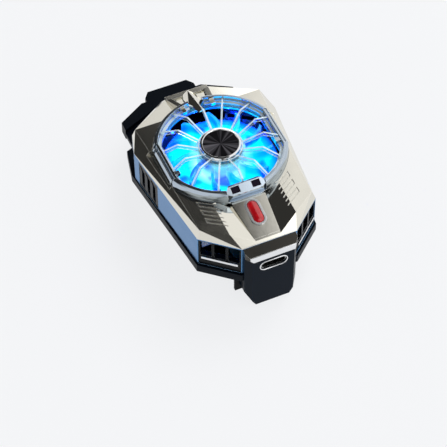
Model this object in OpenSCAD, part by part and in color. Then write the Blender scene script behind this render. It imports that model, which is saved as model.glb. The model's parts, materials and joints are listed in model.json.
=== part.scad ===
// Clamp-on phone cooler: a lit fan over a heat sink and a thermoelectric module,
// held on a phone's back by a fixed front jaw and a sprung rear jaw.
// X is the width, Y points at the sliding jaw, Z points away from the phone.
// The origin is on the fan's axis, on the face that touches the phone.

/* [Phone] */
// Width of the phone between the two jaw pads
phone_w = 71.5; // [69:0.5:75]
// Thickness of the phone above the hooks
phone_t = 7.65; // [6.5:0.05:9]
// Play between the phone and each hook
phone_clear = 0.35; // [0.2:0.05:0.6]

/* [Body outline] */
// Half width of the nose wall
nose_half = 9.6; // [9.4:0.1:10.2]
// Distance of the nose wall in front of the fan axis
nose_reach = 38.5; // [38:0.1:39.5]
// Half width at the front shoulders
shoulder_half = 20.9; // [20.6:0.1:22]
// Distance of the shoulders in front of the axis
shoulder_reach = 28.8; // [28:0.1:29.5]
// Half width at the hips, the widest place
hip_half = 25.7; // [25.4:0.1:27]
// Distance of the hips behind the axis
hip_reach = 12.7; // [11:0.1:14]
// Half width at the rear corners
rear_half = 23.2; // [22.9:0.1:24.5]
// Distance of the rear corners behind the axis
rear_reach = 20.5; // [19.5:0.1:21.5]
// Half width of the tail wall
tail_half = 8.6; // [8.2:0.1:9.5]
// Distance of the tail wall behind the axis
tail_reach = 30.6; // [30.2:0.1:31.5]
// Wall thickness of the plated body
wall_t = 1.6; // [1.4:0.1:1.8]

/* [Heights] */
// How far the cold plate stands proud of the base
plate_proud = 0.4; // [0.2:0.1:0.6]
// Top of the base tray, where the plated wall starts
base_top = 3.5; // [3.4:0.1:4]
// Top of the plated wall, where the shell starts
wall_top = 16.2; // [16:0.1:16.6]
// Height of the shell's deck at its crown
crown_z = 20.2; // [20:0.1:20.8]
// Top of the fan ring
ring_top = 23.2; // [22.8:0.1:23.8]

/* [Top shell] */
// Distance of the crown line in front of the axis
crown_reach = 3; // [2:0.5:5]
// Half width, reach and height of the brow corner over the shoulder
brow = [19.8, 27.9, 19.1]; // [18:0.1:29]
// Half width and reach of the cheek corner at the front bevel
cheek = [11.6, 33.4]; // [11:0.1:34]
// Half width, reach and height of the lip corner
lip = [8.0, 36.4, 17.2]; // [7:0.1:37]
// Half width, reach and height of the crest corner behind the fan
crest = [22.6, 19.0, 20.3]; // [18:0.1:23]
// Half width, reach and height of the heel corner at the tail
heel = [7.7, 28.8, 18.7]; // [7:0.1:30]
// Thickness of the shell's roof
roof_t = 1.9; // [1.6:0.1:2.2]
// Distance of the engraved marks' outer ends from the middle
mark_x = 16.2; // [15.5:0.1:16.8]
// Distance of the first mark's outer end in front of the axis
mark_reach = 17.2; // [16.8:0.1:17.6]
// Width of a mark, along the panel
mark_w = 2.1; // [1.8:0.1:2.4]
// Pitch of the marks
mark_pitch = 3.5; // [3.2:0.1:3.6]
// Lean of the marks
mark_lean = 33; // [28:1:36]
// Width of an engraved line
mark_line = 0.3; // [0.2:0.05:0.4]
// Depth of an engraved line
mark_depth = 0.3; // [0.2:0.05:0.5]

/* [Fan opening] */
// Radius of the fan opening
opening_r = 20.6; // [20.2:0.1:21]
// Distance of the straight sides from the axis
chord_x = 18.9; // [18.6:0.1:19.3]
// Width of the ring around the opening
ring_w = 1.8; // [1.6:0.1:2]
// How much narrower the ring is at its top
ring_taper = 1.1; // [0.8:0.1:1.3]
// Height of the ring's seat in the shell
ring_seat = 18.9; // [18.8:0.1:19.1]
// Bottom of the ring's skirt inside the shell
skirt_z = 17.2; // [16.8:0.1:17.6]
// Thickness of the ring's skirt
skirt_t = 0.9; // [0.7:0.1:1]
// Width of the ledge that carries the guard
ledge_w = 1.0; // [0.8:0.1:1.1]
// Length and width of the small lugs that reach over the guard's rim
lug = [1.9, 1.5]; // [1.4:0.1:2.2]
// Half length of each side clasp
clasp_half = 8.1; // [7.5:0.1:8.3]
// Width of each side clasp
clasp_w = 2.2; // [2:0.1:2.6]
// Distance of the front clasp's edge from the axis
front_clasp_y = 17.6; // [17.5:0.1:18]
// Half width of the front clasp at that edge
front_clasp_half = 5.2; // [4.8:0.1:5.6]
// Distance of the front clasp's outer edge from the axis
front_clasp_out = 21.5; // [21.4:0.1:21.6]
// Distances of a clasp window's sides from the middle
window_x = [2.2, 5]; // [2:0.1:5.2]
// Half width of the rear bridge's ridged tongue
bridge_half = 2.5; // [2:0.1:2.8]
// Distance and height of the tongue's tip
bridge_tip = [14.8, 24.6]; // [14.5:0.1:24.8]
// Distances of a bridge leg's front end from the middle and from the axis
leg_tip = [5.2, 19.4]; // [5:0.1:19.6]
// Width of a bridge leg
bridge_leg = 1.8; // [1.6:0.1:2]

/* [Guard] */
// Number of guard ribs
rib_n = 14; // [10:1:18]
// Thickness of a rib
rib_t = 0.6; // [0.5:0.1:0.8]
// Depth of a rib
rib_d = 1.3; // [1.1:0.1:1.6]
// Radius and height of the knee in a rib
rib_knee = [14.3, 25.2]; // [14:0.1:25.6]
// Height of a rib at the hub and at the ring
rib_end = 22.3; // [22:0.1:22.6]
// Radius of the guard's hub
guard_hub_r = 7.4; // [7.2:0.1:8]
// Radius of the black centre cap
cap_r = 5.9; // [5.5:0.1:6.2]
// Width of the chrome ring around the cap
cap_ring_w = 0.85; // [0.6:0.05:1.1]
// Height of the chrome ring over the guard's hub
cap_ring_h = 0.8; // [0.6:0.05:1]

/* [Fan and motor] */
// Radius of the fan at its blade tips
fan_r = 17.2; // [16.5:0.1:17.3]
// Radius of the fan's hub
fan_hub_r = 8.2; // [8:0.1:8.6]
// Top of the fan's hub
fan_top = 20.3; // [20:0.1:20.4]
// Bottom of the fan's back plate
fan_bottom = 13.3; // [13.2:0.1:13.6]
// Number of fan blades
blade_n = 11; // [7:1:13]
// Thickness of a fan blade
blade_t = 0.9; // [0.7:0.1:1.2]
// Radius of a blade's curve
blade_curve = 11; // [9:0.5:14]
// Thickness of the fan's back plate, hub top and hub wall
fan_wall = 1.0; // [0.8:0.1:1.1]
// Radius of the motor shaft
shaft_r = 0.75; // [0.6:0.05:1]
// Running clearance of the shaft in its bearing
shaft_clear = 0.03; // [0.02:0.01:0.06]
// Radius of the bearing
bearing_r = 1.6; // [1.5:0.05:1.8]
// Radius of the bearing tube
tube_r = 2.4; // [2.2:0.1:2.6]
// Radius of the stator
stator_r = 5.6; // [5.2:0.1:5.8]
// Thickness of the stator's pole shoes and of its core
pole_shoe = 0.8; // [0.7:0.05:0.9]
// Half width of a stator pole
pole_half = 1; // [0.8:0.1:1.1]
// Half width of the slot between two pole shoes
slot_half = 0.4; // [0.3:0.05:0.5]
// Depth of the fan's hub above the stator
stator_drop = 5; // [4.5:0.5:5]
// Thickness of the rotor magnet
magnet_t = 0.9; // [0.7:0.1:1]

/* [Cooling stack] */
// Width and length of the cold plate
cold_plate_size = [34, 36]; // [32:0.5:36]
// Thickness of the cold plate
cold_plate_t = 1.6; // [1.4:0.1:1.8]
// Side of the thermoelectric module
module_w = 28; // [24:0.5:28]
// Thickness of the thermoelectric module
module_t = 3.0; // [2.9:0.1:3.2]
// Thickness of the module's ceramic plates
ceramic_t = 0.7; // [0.6:0.05:0.8]
// Pellets along one side of the module
pellet_n = 7; // [5:1:8]
// Thickness of the heat sink's plate
sink_t = 1.4; // [1.2:0.1:1.5]
// Height of the heat sink's fins
fin_h = 3.2; // [2.8:0.1:3.3]
// Thickness of a fin
fin_t = 0.8; // [0.6:0.1:1]
// Number of radial fins
fin_n = 32; // [24:1:36]

/* [Vents] */
// Width and height of one front vent
vent = [3.9, 7.7]; // [3.6:0.1:8]
// Bottom of a front grille, over the base
vent_low = 0.5; // [0.4:0.1:0.6]
// Width of the bars between front vents
vent_bar = 0.8; // [0.7:0.05:1]
// Height of a vent's sill
vent_sill = 8.1; // [7.8:0.1:8.3]
// Height of the chrome sill bar
sill_h = 0.9; // [0.7:0.1:1]
// Width and height of one side slot
slot = [1.9, 9.6]; // [1.6:0.1:10]
// Pitch of the side slots
slot_pitch = 3.6; // [3.4:0.1:3.8]
// Distance of the middle side slot behind the axis
slot_y = 3.3; // [2.5:0.1:4]
// Bottom of the side slots
slot_z = 4.8; // [4.6:0.1:5]
// Frame around the side slots
louvre_rim = 0.9; // [0.8:0.1:1]

/* [Jaws] */
// Distance of the front pad's face from the fan axis
front_grip = 34.6; // [34:0.1:35]
// Thickness of a jaw pad
pad_t = 1.2; // [1:0.1:1.5]
// Half width of a jaw
jaw_half = 9.2; // [9:0.1:9.4]
// Half width of a jaw's outer face
jaw_face_half = 7.3; // [7:0.1:7.6]
// Depth of a jaw's corner chamfer, outer face to side
jaw_chamfer = 2.5; // [2:0.1:2.8]
// Distance of the front jaw's outer face from the axis
front_face = 42; // [41.8:0.1:42.5]
// Thickness of the rear jaw behind its pad
rear_jaw_t = 8.4; // [7.5:0.1:9]
// Thickness of a hook under the phone
hook_t = 2.6; // [2.2:0.1:3.2]
// Reach of a hook under the phone
hook_reach = 2.0; // [1.5:0.1:3]
// Half width of the hooks' bottom edge
hook_half = 6; // [5:0.1:7]
// Height of the chamfer at a jaw's lower corners
hook_chamfer = 5.6; // [4:0.1:6.5]
// Half width of the front pad
front_pad_half = 10.8; // [10:0.1:11]

/* [Sliding arm] */
// How far the rear jaw closes from its place in the photo
close_travel = 6; // [5:0.5:6]
// Half width of the arm
arm_half = 21; // [20.8:0.1:21.1]
// Width of each leg of the arm
leg_w = 3.2; // [3:0.1:3.4]
// Distance of the legs' front ends in front of the axis
leg_front = 4; // [3:0.5:5]
// Top of the arm's thick rear wing
wing_top = 5.0; // [4.6:0.1:5.4]
// Half width and reach of the wing's outer corner
wing_corner = [20.9, 36.8]; // [20:0.1:37]
// Half width and reach of the wing's inner corner
wing_neck = [11.2, 42.4]; // [11:0.1:43]
// Play above and below the arm
arm_clear = 0.3; // [0.25:0.05:0.35]
// Floor thickness of the base tray
floor_t = 0.9; // [0.8:0.05:1]
// How far the base stands proud of the plated wall
base_flare = 0.5; // [0.3:0.1:0.7]
// How far the base reaches behind the rear corners
base_tail = 4.2; // [3.5:0.1:4.5]
// Distance of the springs' posts in front of the axis
spring_post_y = 22; // [21:0.5:23]
// Radius of a clamp spring, to its wire's middle
spring_r = 0.75; // [0.7:0.02:0.8]
// Wire radius of a clamp spring
spring_wire = 0.16; // [0.12:0.01:0.18]
// Curls of a clamp spring
spring_n = 12; // [8:1:14]

/* [Switch and socket] */
// Half width of the switch panel at its rear end
panel_rear_half = 5.9; // [5.7:0.1:6.2]
// Half width of the switch panel at its front end
panel_front_half = 4.5; // [4.3:0.1:4.8]
// Distance and height of the panel's rear end
panel_rear = [21.9, 19.1]; // [18:0.1:22.2]
// Distance and height of the panel's front end
panel_front = [36.6, 16.8]; // [16:0.1:37]
// Thickness of the switch panel
panel_t = 1.2; // [1:0.1:1.3]
// Length and width of the button
button = [8.4, 3.4]; // [3:0.1:9]
// Distance of the button's centre in front of the axis
button_reach = 27.6; // [27:0.1:29]
// How far the button stands out of its panel
button_proud = 0.9; // [0.7:0.1:1.2]
// Travel of the button
button_travel = 0.5; // [0.3:0.05:0.5]
// Width of the rim around the button
button_rim = 0.9; // [0.7:0.1:1]
// Width and height of the USB-C socket's shell
usb = [8.94, 3.26]; // [3.2:0.01:9]
// Wall of the socket's shell
usb_wall = 0.3; // [0.25:0.05:0.35]
// Length of the socket
usb_len = 7.3; // [7:0.1:7.6]
// Height of the socket's middle
usb_z = 8.75; // [8.6:0.05:9]
// Thickness of the circuit boards
board_t = 0.8; // [0.7:0.1:0.9]

/* [Fits] */
// Gap around pieces that are pressed or clipped in
fit = 0.05; // [0.03:0.01:0.1]
// Gap around pieces that slide or turn
slide_fit = 0.15; // [0.1:0.05:0.2]
// Radius of a screw's thread
screw_r = 0.8; // [0.7:0.05:0.9]
// Radius of a screw's head
screw_head_r = 1.5; // [1.4:0.1:1.6]

/* [Hidden] */
$fn = 96;
BIG = 100;

// Stack of heights, from the phone up
floor_top = plate_proud + floor_t;
arm_low = floor_top + arm_clear;
arm_t = base_top - floor_top - 2 * arm_clear;
sink_z = cold_plate_t + module_t;
sink_top = sink_z + sink_t;
fin_top = sink_top + fin_h;
frame_z = fin_top + 0.2;
frame_t = 1.2;
frame_top = frame_z + frame_t;
stator_top = fan_top - stator_drop;
led_z = frame_top + board_t;
led_h = 0.6;
diffuser_t = 0.7;
frame_r = opening_r - 0.2;
frame_in = frame_r - 1.7;
light_in = fan_hub_r + 2.3;
light_mid = (frame_in + light_in) / 2;
led_half = 0.8;
diffuser_z = fan_bottom - diffuser_t - 0.4;
guard_z = fan_top + 0.5;
ledge_step = 0.5;
rim_top = rib_end - rib_d + 0.3;
lug_z = [rim_top + 2 * fit, rim_top + 1.4];
rib_sink = 0.1;
cap_z = rib_end - rib_sink;

// Grip of the two jaws, and the hooks' depth
front_pad_y = -front_grip;
rear_pad_y = phone_w - front_grip;
hook_top = -phone_t - phone_clear;
hook_low = hook_top - hook_t;
rear_face = rear_pad_y + pad_t + rear_jaw_t;

// Slope of the deck in front of the crown, and the height of a point on it
deck_slope = (crown_z - brow[2]) / (brow[1] - crown_reach);
function deck_z(y) = crown_z + (y + crown_reach) * deck_slope;

// Fall of the strips from the deck to the front of the switch panel
strip_fall = (deck_z(-panel_front[0]) - panel_front[1]) / (cheek[0] - panel_front_half);
valley_over = 2;
clasp_cheek = 1.5;
bridge_rise = 0.9;
clasp_lug_y = 6.4;

// Frame of the sloped switch panel
panel_run = panel_front[0] - panel_rear[0];
panel_tilt = atan2(panel_rear[1] - panel_front[1], panel_run);
panel_len = panel_run / cos(panel_tilt);
button_y = -(button_reach - panel_rear[0]) / cos(panel_tilt);
carrier_t = 3.0;
stem_end = carrier_t + 0.2;
tact_top = stem_end + button_travel + 0.05;
tact_h = 1.1;

// Places that several pieces share
base_bolts = [[16.2, -cold_plate_size[1] / 2 - 5.5], [14.5, cold_plate_size[1] / 2 + 2]];
sink_bolts = [[14.5, -15.2], [14.5, 15.2]];
frame_posts = [[17, 9.8], [17, -9.8]];
board_posts = [7.5, -31];
jaw_bolt = [6.6, 4.7];
board_top = usb_z - usb[1] / 2;
board_y = [-nose_reach + wall_t + 0.2, -26.6];
spring_x = arm_half - leg_w + 0.4;
spring_post_r = 0.9;
hook_len = 1.4;

// Both halves of an outline from its right half
function both(pts) = concat(pts, [for (i = [len(pts) - 1:-1:0]) [-pts[i][0], pts[i][1]]]);

// Plan of the plated wall, grown by g
function wall_plan(g) = both([[nose_half + g, -nose_reach - g], [shoulder_half + g, -shoulder_reach - g],
    [hip_half + g, hip_reach], [rear_half + g, rear_reach + g], [tail_half + g, tail_reach + g]]);

// Plan of the base tray, which reaches further back over the arm
function base_plan(g) = both([[nose_half + g, -nose_reach - g], [shoulder_half + g, -shoulder_reach - g],
    [hip_half + g, hip_reach + 2], [rear_half + g, rear_reach + base_tail + g],
    [tail_half + g, tail_reach + g]]);

// Corner points mirrored to both sides
function pair(p, z) = [[p[0], p[1], z], [-p[0], p[1], z]];
function lift(pts, z) = [for (p = pts) [p[0], p[1], z]];

// Convex solid on a list of corners
module facets(pts) hull() polyhedron(pts, [for (i = [0:len(pts) - 3]) [i, i + 1, i + 2]]);

// Prism along X from a (y, z) profile, and along Y from an (x, z) profile
module along_x(half, pts) rotate([90, 0, 90]) translate([0, 0, -half]) linear_extrude(2 * half) polygon(pts);
module along_y(y0, y1, pts) translate([0, y1, 0]) rotate([90, 0, 0]) linear_extrude(y1 - y0) polygon(pts);
module plan(z0, z1, pts) translate([0, 0, z0]) linear_extrude(z1 - z0) polygon(pts);
module sides() { children(); mirror([1, 0, 0]) children(); }
module at_each(pts) for (p = pts) sides() translate([p[0], p[1], 0]) children();
module tube(z0, z1, ro, ri) translate([0, 0, z0]) difference() {
    cylinder(r = ro, h = z1 - z0);
    translate([0, 0, -1]) cylinder(r = ri, h = z1 - z0 + 2);
}
module disc(z0, z1, r) translate([0, 0, z0]) cylinder(r = r, h = z1 - z0);
module block(x, y, z) translate([x[0], y[0], z[0]]) cube([x[1] - x[0], y[1] - y[0], z[1] - z[0]]);

// Capsule of a given length along Y and width
module capsule(l, w) {
    square([w, l - w], center = true);
    for (s = [-1, 1]) translate([0, s * (l - w) / 2]) circle(d = w);
}

// Rounded slot of the socket, grown by g, along Y
module usb_slot(y0, y1, g) translate([0, y1, usb_z]) rotate([90, 0, 0]) linear_extrude(y1 - y0)
    rotate(90) capsule(usb[0] + 2 * g, usb[1] + 2 * g);

// Fan opening with its straight sides, grown by g
module opening(z0, z1, g) intersection() {
    disc(z0, z1, opening_r + g);
    block([-chord_x - g, chord_x + g], [-BIG, BIG], [z0, z1]);
}

// Space of the two side clasps, the front clasp and the bridge, grown by g
module clasp_space(g) sides() block([chord_x - g, BIG], [-1, 1] * (clasp_half + g), [ring_seat - g, BIG]);
module front_clasp_plan(z0, z1, g, out) plan(z0, z1, both([[front_clasp_half + g, -front_clasp_y + g],
    [front_clasp_half + clasp_cheek + g, -opening_r + clasp_cheek / 2],
    [front_clasp_half + clasp_cheek + g, -max(out, front_clasp_out + g) + clasp_cheek / 2],
    [front_clasp_half + g, -max(out, front_clasp_out + g)]]));
module bridge_space(g) block([-1, 1] * (bridge_half + g), [bridge_tip[0] - g, BIG], [ring_seat, BIG]);

// Legs of the bridge over the ring, grown by g
module bridge_legs(g) sides() facets(concat(
    [for (x = [0, bridge_leg], z = [crown_z - 3, heel[2] + bridge_rise]) [heel[0] - x, heel[1] - 1, z]],
    [for (x = [-g, bridge_leg + g], z = [ring_top - 1.6 - g, ring_top + g])
        [leg_tip[0] + bridge_leg / 2 - x, leg_tip[1] - g, z]]));

// Everything on the switch panel, from its rear end, with Z along its normal
module on_panel() translate([0, -panel_rear[0], panel_rear[1]]) rotate([panel_tilt, 0, 0]) children();
module panel_plan(z0, z1, g) plan(z0, z1,
    both([[panel_rear_half + g, g], [panel_front_half + g, -panel_len - g]]));
module at_button(z0, z1, g) translate([0, button_y, z0]) linear_extrude(z1 - z0)
    capsule(button[0] + 2 * g, button[1] + 2 * g);

// Outer and inner bodies of the shell, and the shallow valley down its front
module shell_block() facets(concat(lift(wall_plan(0), wall_top),
    pair([brow[0], -brow[1]], brow[2]), pair([cheek[0], -cheek[1]], deck_z(-cheek[1])),
    pair([lip[0], -lip[1]], lip[2]), pair([crest[0], crest[1]], crest[2]),
    pair([heel[0], heel[1]], heel[2]), pair([crest[0] - 1.4, -crown_reach], crown_z)));
module shell_room() facets(concat(lift(wall_plan(-wall_t), wall_top - 1),
    pair([brow[0] - wall_t, -panel_rear[0]], deck_z(-panel_rear[0]) - roof_t),
    pair([crest[0] - 2 * wall_t, -crown_reach], crown_z - roof_t),
    pair([crest[0] - wall_t, crest[1] - wall_t], crest[2] - roof_t),
    pair([heel[0], heel[1] - wall_t], heel[2] - roof_t)));
function strip_z(x, y) = deck_z(y) - (cheek[0] - x) * strip_fall;
function panel_edge(y) = panel_rear_half
    + (panel_front_half - panel_rear_half) * (-y - panel_rear[0]) / panel_run;
module valley() let (far = -nose_reach - 4, rear = -panel_rear[0] + valley_over)
    facets(concat([for (y = [rear, far]) each pair([panel_edge(y), y], strip_z(panel_edge(y), y))],
        [for (y = [rear, far], z = [0, crown_z]) each pair([cheek[0], y], deck_z(y) + z)]));

// One engraved mark: a slanted outline, open toward the valley, drawn in by g
module mark_shape(g) let (far = cheek[0] - valley_over - g, out = mark_x - g, gy = g / cos(mark_lean),
    fall = (out - far) * tan(mark_lean), y = -mark_reach - g * tan(mark_lean) - gy, w = mark_w - 2 * gy)
    polygon([[out, y], [far, y - fall], [far, y - fall - w], [out, y - w]]);
module marks() sides() translate([0, -crown_reach, crown_z]) rotate([atan(deck_slope), 0, 0])
    for (i = [0:2]) translate([0, crown_reach - i * mark_pitch, -mark_depth])
        linear_extrude(mark_depth + 1) difference() { mark_shape(0); mark_shape(mark_line); }

module top_shell() color("dimgray") difference() {
    union() {
        difference() { shell_block(); shell_room(); }
        intersection() {
            shell_block();
            on_panel() block([-panel_rear_half - 1.4, panel_rear_half + 1.4],
                [-panel_len - 0.2, 1.6], [-carrier_t, 0]);
        }
        on_panel() block([-panel_rear_half - 1.4, panel_rear_half + 1.4], [-panel_len + 0.4, 1.6],
            [-carrier_t, -panel_t]);
        on_panel() at_each([[4.4, button_y]]) disc(-tact_top - tact_h, -panel_t, 0.9);
    }
    valley();
    opening(0, BIG, skirt_t + fit);
    opening(ring_seat, BIG, ring_w + fit);
    clasp_space(fit);
    front_clasp_plan(ring_seat + ledge_step, BIG, fit, 0);
    on_panel() panel_plan(-panel_t, BIG, fit);
    on_panel() at_button(-carrier_t + 0.4, BIG, 0.8 + slide_fit);
    on_panel() translate([0, button_y, 0]) disc(-BIG, 0, 1 + slide_fit);
    marks();
}

// Plated wall, open for the vents, the side louvres and the socket
vent_row = 3 * vent[0] + 2 * vent_bar;
vent_start = (norm([nose_reach - shoulder_reach, shoulder_half - nose_half]) - vent_row) / 2;
vent_rim = 0.5;
module front_face(z0, z1, grow, depth) sides() translate([shoulder_half, -shoulder_reach, 0])
    rotate(atan2(nose_reach - shoulder_reach, shoulder_half - nose_half) + 180)
    translate([vent_start - grow, -depth, z0]) cube([vent_row + 2 * grow, 2 * depth, z1 - z0]);
side_lean = atan2(hip_half - shoulder_half, hip_reach + shoulder_reach);
louvre_half = 1.5 * slot_pitch + louvre_rim;
module on_side() translate([shoulder_half + (slot_y + shoulder_reach) * tan(side_lean), slot_y, 0])
    rotate(-side_lean) children();
module louvre_space(g, d) on_side() block([-d, 1], [-louvre_half - g, louvre_half + g],
    [slot_z - louvre_rim - g, slot_z + slot[1] + louvre_rim + g]);

module side_wall() color("steelblue") difference() {
    plan(base_top, wall_top, wall_plan(0));
    plan(base_top - 1, wall_top + 1, wall_plan(-wall_t));
    front_face(base_top + vent_low, vent_sill + vent[1], vent_rim + fit, 4);
    sides() louvre_space(fit, 3);
    usb_slot(-nose_reach - 1, -nose_reach + 3, slide_fit);
    sides() translate([jaw_bolt[0], 0, jaw_bolt[1]]) rotate([90, 0, 0]) cylinder(r = screw_r, h = BIG);
}

// Black grille in each front facet: a plate with three tall vents and a groove for the chrome sill
module vent_grille() difference() {
    intersection() {
        front_face(base_top + vent_low + fit, vent_sill + vent[1] - fit, vent_rim, 4);
        difference() {
            plan(base_top, wall_top, wall_plan(-0.15));
            plan(base_top, wall_top, wall_plan(-wall_t));
        }
        block([0, BIG], [-BIG, BIG], [0, BIG]);
    }
    sill_space(fit);
    for (i = [0:2]) translate([shoulder_half, -shoulder_reach, vent_sill])
        rotate(atan2(nose_reach - shoulder_reach, shoulder_half - nose_half) + 180)
        translate([vent_start + i * (vent[0] + vent_bar), -6, 0.35])
        cube([vent[0], 12, vent[1] - 0.8]);
}
module left_vent() color("lightsteelblue") mirror([1, 0, 0]) vent_grille();
module right_vent() color("lightsteelblue") vent_grille();

// Chrome bar under each row of vents
module sill_space(g) difference() {
    front_face(vent_sill - sill_h - g, vent_sill + g, -vent_rim + g, 4);
    plan(0, BIG, wall_plan(-wall_t / 2 - g));
}
module sill() intersection() {
    sill_space(0);
    plan(base_top, wall_top, wall_plan(0.25));
    block([0, BIG], [-BIG, BIG], [0, BIG]);
}
module left_sill() color("silver") mirror([1, 0, 0]) sill();
module right_sill() color("silver") sill();

// Side louvre with three slots, each with a hooked top
module louvre() difference() {
    on_side() block([-wall_t * 0.8, -0.1], [-louvre_half, louvre_half],
        [slot_z - louvre_rim, slot_z + slot[1] + louvre_rim]);
    for (i = [-1:1]) on_side() translate([-wall_t - 1, i * slot_pitch, slot_z]) rotate([90, 0, 90])
        linear_extrude(wall_t + 2) polygon([[-slot[0] / 2, 0], [slot[0] / 2, 0.9],
            [slot[0] / 2, slot[1] - 2], [slot[0] / 2 + 1.2, slot[1] - 0.6], [slot[0] / 2 + 0.6, slot[1]],
            [-slot[0] / 2, slot[1] - 1.6]]);
}
module left_louvre() color("silver") mirror([1, 0, 0]) louvre();
module right_louvre() color("silver") louvre();

// Black tray: floor with the cold plate's window, rim, screw posts and spring posts
module base_tray() color("black") difference() {
    union() {
        difference() {
            plan(plate_proud, base_top, base_plan(base_flare));
            plan(floor_top, base_top + 1, base_plan(-wall_t));
            block([-1, 1] * (arm_half + slide_fit), [rear_reach - wall_t, BIG], [floor_top, BIG]);
        }
        at_each(base_bolts) disc(plate_proud, sink_z, screw_head_r + 0.6);
        at_each([board_posts]) disc(plate_proud, board_top - board_t, 1.5);
        at_each([[spring_x, -spring_post_y]]) disc(plate_proud, base_top - 0.2, spring_post_r);
    }
    block([-1, 1] * (cold_plate_size[0] / 2 + fit), [-1, 1] * (cold_plate_size[1] / 2 + fit), [-1, BIG]);
    at_each(base_bolts) disc(-1, BIG, screw_r);
    at_each(base_bolts) disc(-1, plate_proud + 1, screw_head_r + fit);
}

// Ring around the fan on a continuous skirt, with a rounded shoulder and a ledge for the guard
ring_step = 0.9;
ring_flat = ring_w - ring_taper;
ring_profile = concat([[opening_r, ring_seat], [opening_r + ring_w, ring_seat]],
    [for (a = [0:18:90]) [opening_r + ring_flat + ring_taper * cos(a),
        ring_seat + ring_step + (ring_top - ring_seat - ring_step) * sin(a)]], [[opening_r, ring_top]]);
module fan_ring() color("gray") union() {
    difference() {
        rotate_extrude() polygon(ring_profile);
        sides() block([chord_x - fit, BIG], [-1, 1] * (clasp_half + fit), [0, BIG]);
        front_clasp_plan(ring_seat + ledge_step, BIG, fit, BIG);
        bridge_space(fit);
        bridge_legs(fit);
        on_panel() panel_plan(-panel_t, BIG, fit);
        shell_margin();
    }
    difference() {
        opening(skirt_z, ring_seat + ledge_step, skirt_t);
        opening(skirt_z - 1, BIG, 0);
        sides() block([chord_x + skirt_t, BIG], [-BIG, BIG], [0, BIG]);
    }
    difference() {
        opening(ring_seat - ledge_step, ring_seat + ledge_step, fit);
        opening(0, BIG, -ledge_w);
    }
}
module shell_margin() sides() block([chord_x + ring_w, BIG], [-BIG, BIG], [0, BIG]);

// Raised double-ridged clasp on the ring's straight side
module clasp() difference() {
    intersection() {
        along_y(-clasp_half, clasp_half, [[chord_x, ring_seat + ledge_step],
            [chord_x + skirt_t + fit, ring_seat + ledge_step], [chord_x + skirt_t + fit, ring_seat],
            [chord_x + clasp_w, ring_seat],
            [chord_x + clasp_w, ring_top - 1.9], [chord_x + clasp_w - 0.5, ring_top - 1.0],
            [chord_x + 1.3, ring_top - 1.0], [chord_x + 1.1, ring_top - 1.5],
            [chord_x + 0.8, ring_top - 0.3], [chord_x, ring_top]]);
        plan(ring_seat, ring_top, [[chord_x, -clasp_half], [chord_x + clasp_w, -clasp_half + 0.8],
            [chord_x + clasp_w, clasp_half - 0.8], [chord_x, clasp_half]]);
    }
    block([chord_x + 0.9, BIG], [clasp_half - 2.4, clasp_half - 1.2], [ring_top - 1.9, BIG]);
}
module clasp_lug() block([chord_x - lug[0], chord_x + 0.4], [-clasp_lug_y, -clasp_lug_y + lug[1]], lug_z);
module lugged_clasp() union() { clasp(); clasp_lug(); }
module left_clasp() color("darkgray") mirror([1, 0, 0]) lugged_clasp();
module right_clasp() color("darkgray") lugged_clasp();

// Front clasp, a low bracket over the ring's front, with two dark windows in its sloping top
clasp_slope = [[-front_clasp_y - 1, ring_top], [-front_clasp_out, ring_top - 1.3]];
window_y = [-opening_r - 0.3, -opening_r + 1.7];
window_t = 0.9;
module window_space(g) sides() block(window_x + [-g, g], window_y + [-g, g],
    [ring_top - 1 - window_t, BIG]);
module front_clasp() color("darkgray") difference() {
    intersection() {
        front_clasp_plan(ring_seat + ledge_step, ring_top, 0, 0);
        along_x(BIG, concat([[-front_clasp_y, ring_seat + ledge_step], [-front_clasp_y, ring_top - 0.5]],
            clasp_slope, [[-front_clasp_out, ring_top - 1.9],
                [-front_clasp_out + 0.5, ring_seat + ledge_step]]));
    }
    window_space(fit);
}
module clasp_windows() color("indigo") intersection() {
    window_space(0);
    translate([0, 0, -0.25]) along_x(BIG, concat(clasp_slope,
        [[-front_clasp_out, ring_seat], [-front_clasp_y - 1, ring_seat]]));
}

// Plated bar across the tail, with a ridged tongue over one rib and two legs over the ring
module rear_bridge() color("gray") difference() {
    union() {
        along_x(heel[0] - 0.2, [[heel[1] - 1.6, crown_z - 3], [heel[1] - 1.6, heel[2] + bridge_rise],
            [heel[1] + 0.4, heel[2] + bridge_rise - 0.1], [heel[1] + 1.2, heel[2] - 0.2],
            [heel[1] + 1.2, heel[2] - 2]]);
        facets(concat(pair([bridge_half, heel[1] - 1], crown_z - 3),
            pair([bridge_half, heel[1] - 1], heel[2]), pair([bridge_half, opening_r], ring_top - 1.6),
            [[0, heel[1] - 1.2, heel[2] + 2.6]], pair([bridge_half / 2, bridge_tip[0]], bridge_tip[1] - 1),
            [[0, bridge_tip[0], bridge_tip[1]]]));
        bridge_legs(0);
        sides() block([leg_tip[0] - lug[1] / 2, leg_tip[0] + lug[1] / 2],
            [leg_tip[1] - lug[0], leg_tip[1] + 0.4], lug_z);
    }
    shell_block();
    opening(0, ring_seat + ledge_step, skirt_t + fit);
}

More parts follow.
